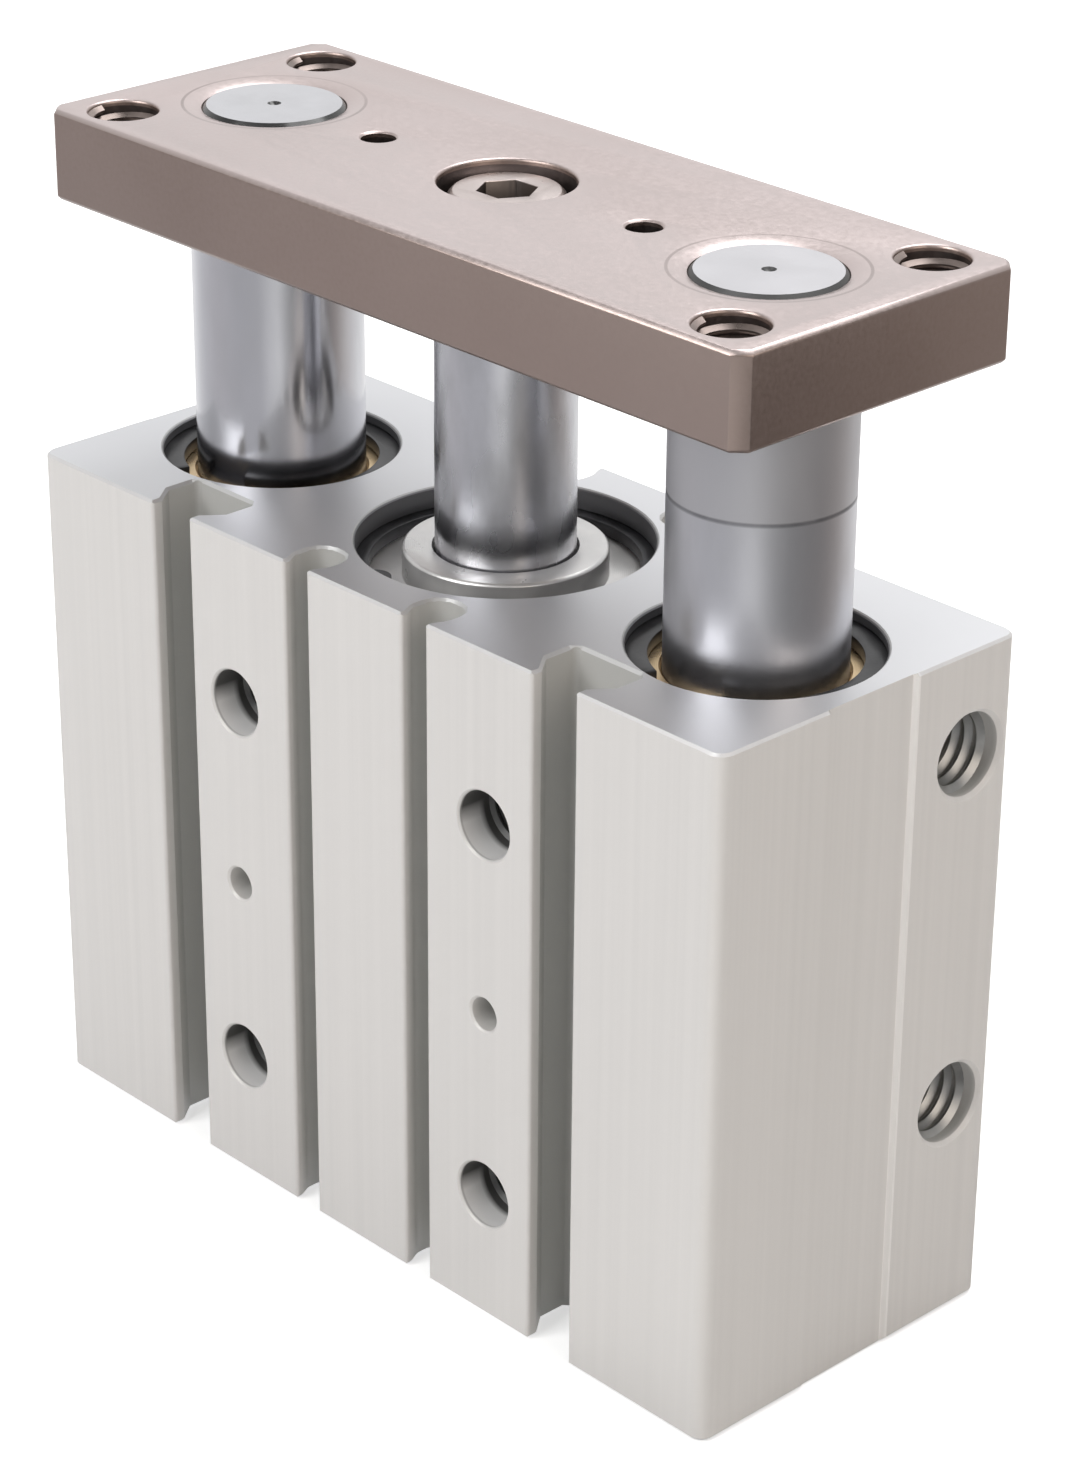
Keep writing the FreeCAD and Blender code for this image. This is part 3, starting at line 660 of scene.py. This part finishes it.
def slotCutters():
    cutters = []
    for shape in slotShapes.values():
        for middle, side in shape["places"]:
            corners = slotOutline(shape["half"], middle, side, places["bodyFace"])
            cutters += [flaredCutter(corners, end, slotEnds) for end in slotEnds["ends"]]
    selectOnly(cutters[0])
    for cutter in cutters:
        cutter.select_set(True)
    bpy.ops.object.join()
    return bpy.context.object


# The shallow band on each end face, whose sides slope
endBands = {"floor": 55.6, "edge": 6.8, "slope": 0.4, "near": 0.01}


def slopeBands(piece, look):
    moved = 0
    for vertex in piece.data.vertices:
        atFloor = abs(abs(vertex.co.x) / mm - look["floor"]) < look["near"]
        if atFloor and abs(abs(vertex.co.y) / mm - look["edge"]) < look["near"]:
            vertex.co.y *= (look["edge"] - look["slope"]) / look["edge"]
            moved += 1
    print("band corners moved:", moved)


# The long upright edges, without those of the end bands
bodyCorners = {"shortest": 60, "bandX": 55, "bandY": 8, "width": 0.2}


def bodyCorner(edge):
    first, second = edge.verts
    upright = abs(first.co.z - second.co.z) > bodyCorners["shortest"] * mm
    atEnd = abs(first.co.x) > bodyCorners["bandX"] * mm
    return upright and not (atEnd and abs(first.co.y) < bodyCorners["bandY"] * mm)


bodyPiece = mergedCopy("body")
slopeBands(bodyPiece, endBands)
cutter = slotCutters()
applyModifier(bodyPiece, "BOOLEAN", operation="DIFFERENCE", object=cutter, solver="EXACT")
bpy.data.objects.remove(cutter)
softenEdges(bodyPiece, bodyCorners["width"], bodyCorner)
finishPiece(bodyPiece, "body", "body")
print("body finished")


# Turned and machined pieces: finish and width of the bevel
dressed = {
    "plate": ("plate", 0.12),
    "plate_screw": ("screw", 0.1),
    "guide_rod_left": ("guideRodLeft", 0),
    "guide_rod_right": ("guideRodRight", 0),
    "piston_rod": ("pistonRod", 0),
    "rod_cover": ("covers", 0.08),
    "head_cover": ("covers", 0.08),
    "rod_cover_ring": ("rings", 0.12),
    "head_cover_ring": ("rings", 0.12),
    "upper_guide_ring_left": ("guideRings", 0.12),
    "upper_guide_ring_right": ("guideRings", 0.12),
    "lower_guide_ring_left": ("guideRings", 0.12),
    "lower_guide_ring_right": ("guideRings", 0.12),
}
for node, (finish, width) in dressed.items():
    piece = mergedCopy(node)
    if width:
        softenEdges(piece, width, longEnough)
    finishPiece(piece, node, finish)
print("dressed pieces:", len(dressed))

# Pieces that keep their own mesh
plain = {
    "rod_bush": "bushMiddle", "rod_seal": "seals", "rod_cover_gasket": "seals",
    "head_cover_gasket": "seals", "piston_seal": "seals", "rod_bumper": "bumpers",
    "head_bumper": "bumpers", "piston": "covers", "piston_magnet": "magnet",
    "port_plug_lower": "plugs", "port_plug_upper": "plugs", "base_ball": "balls",
    "back_ball": "balls", "upper_bush_left": "bushLeft", "lower_bush_left": "bushLeft",
    "upper_bush_right": "bushRight", "lower_bush_right": "bushRight",
}
for node, finish in plain.items():
    part = frame["nodes"][node]
    giveFinish(part, finish)
print("plain pieces:", len(plain))


# Screw threads: each mouth has a place and the way out of the hole
threads = {
    "plate": {
        "pitch": 1.25, "outer": 4.0, "inner": 3.42, "length": 10.2,
        "finish": "plateThread", "slot": "plated_steel", "body": "slide",
        "mouths": [((x, y, 124.45), (0, 0, 1)) for x, y in places["plateCorners"]],
    },
    "front": {
        "pitch": 1.25, "outer": 4.0, "inner": 3.55, "length": 11.3,
        "finish": "frontThreadShade", "slot": "anodised_body", "body": "housing",
        "mouths": [((x, -18.6, z), (0, -1, 0)) for x, z in places["frontScrews"]],
    },
    "base": {
        "pitch": 1.25, "outer": 4.0, "inner": 3.42, "length": 15.2,
        "finish": "thread", "slot": "anodised_body", "body": "housing",
        "mouths": [((x, y, 0.3), (0, 0, -1)) for x in (-49, 49) for y in (-17, 17)],
    },
    "port": {
        "pitch": 1.75, "outer": 4.86, "inner": 4.2, "length": 7.0,
        "finish": "thread", "slot": "anodised_body", "body": "housing",
        "mouths": [((55.3, 15.8, z), (1, 0, 0)) for z in (27.4, 70.6)],
    },
}

# Root, crest and start are shares of the pitch
ridgeShape = {
    "sunk": 0.03,
    "root": 0.45,
    "crest": 0.08,
    "startsIn": 0.5,
    "steps": 40,
    "smoothDegrees": 30,
}


# One ridge about the Z axis, its root sunk a little in the wall of the hole
def threadRidge(name, look, shape):
    pitch = look["pitch"] * mm
    outer = (look["outer"] + shape["sunk"]) * mm
    inner = look["inner"] * mm
    root = shape["root"] * pitch
    crest = shape["crest"] * pitch
    bpy.ops.mesh.primitive_plane_add(size=2 * root, location=((outer + inner) / 2, 0, 0))
    ridge = bpy.context.object
    ridge.name = name
    order = sorted(ridge.data.vertices, key=lambda v: math.atan2(v.co.y, v.co.x))
    bakePlace(ridge)
    corners = [(outer, -root), (outer, root), (inner, crest), (inner, -crest)]
    for vertex, (radius, height) in zip(order, corners):
        vertex.co = (radius, 0, height)
    ridge.data.update()
    applyModifier(ridge, "SCREW", angle=2 * math.pi, screw_offset=-pitch, axis="Z",
                  iterations=int(look["length"] / look["pitch"]), steps=shape["steps"],
                  render_steps=shape["steps"], use_merge_vertices=False)
    return ridge


for name, look in threads.items():
    pattern = threadRidge(name + "_thread", look, ridgeShape)
    start = ridgeShape["startsIn"] * look["pitch"] * mm
    for number, (place, out) in enumerate(look["mouths"], 1):
        ridge = pattern.copy()
        ridge.data = pattern.data.copy()
        ridge.name = "%s_thread_%d" % (name, number)
        bpy.context.scene.collection.objects.link(ridge)
        ridge.rotation_mode = "QUATERNION"
        ridge.rotation_quaternion = Vector(out).to_track_quat("Z", "X")
        ridge.location = Vector(place) * mm - Vector(out) * start
        bakePlace(ridge)
        faceOutwards(ridge)
        smoothByAngle(ridge, ridgeShape["smoothDegrees"])
        giveFinish(ridge, look["finish"])
        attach(ridge, look["body"])
    bpy.data.objects.remove(pattern)
    print("threads cut:", name)


# Floor, lamps and sky
floorLook = {
    "size": 12,
    "height": -0.0002,
    "colour": (0.86, 0.86, 0.86),
    "roughness": 0.7,
    "glow": (0.5, 1.0),
    "glowTurns": (0.45, 1.2),
    "mirroredGlow": 0.5,
}


# What the camera sees brightens with distance, and what the metal mirrors stays even
def paleFloor(look):
    material = newMaterial("paleFloor", roughness=look["roughness"])
    shaderInput(material, "Base Color").default_value = (*look["colour"], 1)
    shaderInput(material, "Specular IOR Level").default_value = 0
    distance = addNode(material, "ShaderNodeVectorMath", operation="LENGTH")
    join(material, placeNodes(material, (1, 1, 1)), distance.inputs[0])
    level = distance.outputs["Value"]
    level = spread(material, level, *look["glow"], *look["glowTurns"])
    rays = addNode(material, "ShaderNodeLightPath").outputs
    seen = allOf(material, rays["Is Camera Ray"], level)
    reflected = between(material, rays["Is Glossy Ray"], 0, look["mirroredGlow"])
    shaderInput(material, "Emission Color").default_value = (1, 1, 1, 1)
    join(material, anyOf(material, seen, reflected), shaderInput(material, "Emission Strength"))
    return material


bpy.ops.object.select_all(action="DESELECT")
bpy.ops.mesh.primitive_plane_add(size=floorLook["size"], location=(0, 0, floorLook["height"]))
floor = bpy.context.object
floor.name = "floor"
floor.data.materials.append(paleFloor(floorLook))

# Bearings in degrees from the camera's, each with the tone that the metal mirrors there
surroundings = {
    "radius": 1.4,
    "height": -0.0001,
    "cameraBearing": -43,
    "behind": (1, 1, 1),
    "tones": [(-142, (0.95, 0.95, 0.96)), (-120, (0.72, 0.72, 0.74)), (-95, (0.62, 0.61, 0.63)),
              (-60, (0.54, 0.54, 0.56)), (-30, (0.56, 0.56, 0.58)), (-17, (0.74, 0.74, 0.75)),
              (-3, (0.86, 0.86, 0.86)), (6, (0.62, 0.62, 0.62)), (14, (0.42, 0.42, 0.42)),
              (24, (0.32, 0.32, 0.32)), (34, (0.24, 0.24, 0.24)), (62, (0.22, 0.21, 0.21)),
              (76, (0.27, 0.25, 0.24)), (90, (0.40, 0.36, 0.34)), (105, (0.62, 0.59, 0.57)),
              (122, (0.82, 0.80, 0.79)), (140, (1.0, 1.0, 1.0))],
}


def studioTones(look):
    material = newMaterial("studioTones", roughness=0.9)
    turn = (0, 0, -math.radians(look["cameraBearing"]))
    bearing = addNode(material, "ShaderNodeTexGradient", gradient_type="RADIAL")
    mapping = addNode(material, "ShaderNodeMapping", Rotation=turn)
    coordinates = addNode(material, "ShaderNodeTexCoord")
    join(material, coordinates.outputs["Object"], mapping.inputs["Vector"])
    join(material, mapping.outputs["Vector"], bearing.inputs["Vector"])
    tones = addNode(material, "ShaderNodeValToRGB")
    stops = tones.color_ramp.elements
    for stop in stops:
        stop.color = (*look["behind"], 1)
    for angle, colour in look["tones"]:
        stops.new(angle / 360 + 0.5).color = (*colour, 1)
    join(material, bearing.outputs["Fac"], tones.inputs["Fac"])
    join(material, tones.outputs["Color"], shaderInput(material, "Emission Color"))
    shaderInput(material, "Base Color").default_value = (0, 0, 0, 1)
    shaderInput(material, "Specular IOR Level").default_value = 0
    shaderInput(material, "Emission Strength").default_value = 1
    return material


# Seen only in reflections
bpy.ops.mesh.primitive_circle_add(vertices=64, radius=surroundings["radius"], fill_type="NGON",
                                  location=(0, 0, surroundings["height"]))
disc = bpy.context.object
disc.name = "studioTones"
disc.data.materials.append(studioTones(surroundings))
disc.visible_camera = False
disc.visible_diffuse = False
disc.visible_shadow = False

aim = Vector((0, 0, 0.06))
lamps = [
    {"name": "key", "place": (-0.2, -1.08, 0.95), "size": 0.9, "power": 11.5, "tint": (1, 1, 1)},
    {"name": "side", "place": (1.15, -0.1, 0.7), "size": 0.9, "power": 3.8, "tint": (1, 0.88, 0.77)},
    {"name": "top", "place": (0.0, 0.5, 1.3), "size": 1.0, "power": 12, "tint": (1, 1, 1)},
]
for lamp in lamps:
    data = bpy.data.lights.new(lamp["name"], "AREA")
    data.shape = "SQUARE"
    data.size = lamp["size"]
    data.energy = lamp["power"]
    data.color = lamp["tint"]
    light = bpy.data.objects.new(lamp["name"], data)
    light.location = lamp["place"]
    light.rotation_euler = (aim - light.location).to_track_quat("-Z", "Y").to_euler()
    bpy.context.scene.collection.objects.link(light)

# White behind the part, dimmer towards the camera for what the metal mirrors
sky = {"behind": (-0.73, 0.68, 0.0), "turns": (0.2, 0.7), "dim": 0.42, "diffuse": 0.2}
world = bpy.data.worlds.new("softSky")
bpy.context.scene.world = world
world.use_nodes = True
rays = addNode(world, "ShaderNodeLightPath").outputs
facing = addNode(world, "ShaderNodeVectorMath", operation="DOT_PRODUCT")
facing.inputs[1].default_value = sky["behind"]
join(world, addNode(world, "ShaderNodeTexCoord").outputs["Generated"], facing.inputs[0])
level = spread(world, facing.outputs["Value"], sky["dim"], 1, *sky["turns"])
reflected = allOf(world, rays["Is Glossy Ray"], level)
strength = anyOf(world, rays["Is Camera Ray"], rays["Is Transmission Ray"], reflected, sky["diffuse"])
background = world.node_tree.nodes["Background"]
background.inputs["Color"].default_value = (1, 1, 1, 1)
join(world, strength, background.inputs["Strength"])
print("stage set")
